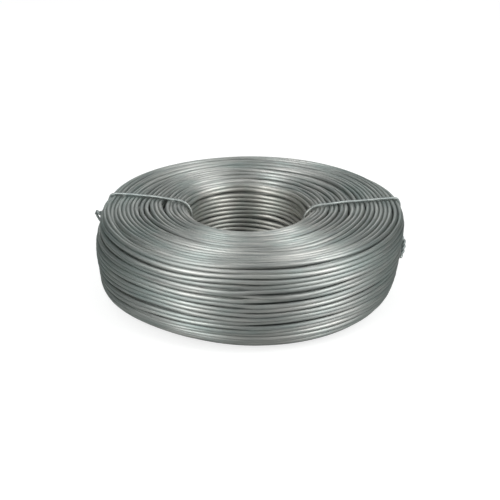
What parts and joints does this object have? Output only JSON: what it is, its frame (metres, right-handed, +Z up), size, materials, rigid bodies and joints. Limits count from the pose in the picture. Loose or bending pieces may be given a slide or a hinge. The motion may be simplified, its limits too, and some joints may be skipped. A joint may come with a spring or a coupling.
{
  "type": "coil of binding wire",
  "caption": "Short thick coil of bare steel binding wire wound round an open bore, held by wire ties that run through the bore and are twisted shut on the outer wall.",
  "frame": {"origin": "On the axis of the bore, level with the flat underside that the coil rests on.", "axes": "+Z runs up along the bore. -Y is the side that faces the picture's camera, with one tie towards -X and one towards +X."},
  "size_m": [0.1261, 0.12, 0.035],
  "materials": {
    "coil_wire": "bare drawn steel wire, mid grey with a soft sheen and dark gaps between the turns",
    "tie_wire": "lighter, brighter soft steel tie wire, drawn and twisted"
  },
  "bodies": {
    "root": {"wire_coil": "coil_wire", "tie_wire_left": "tie_wire", "tie_wire_right": "tie_wire"}
  },
  "joints": []
}
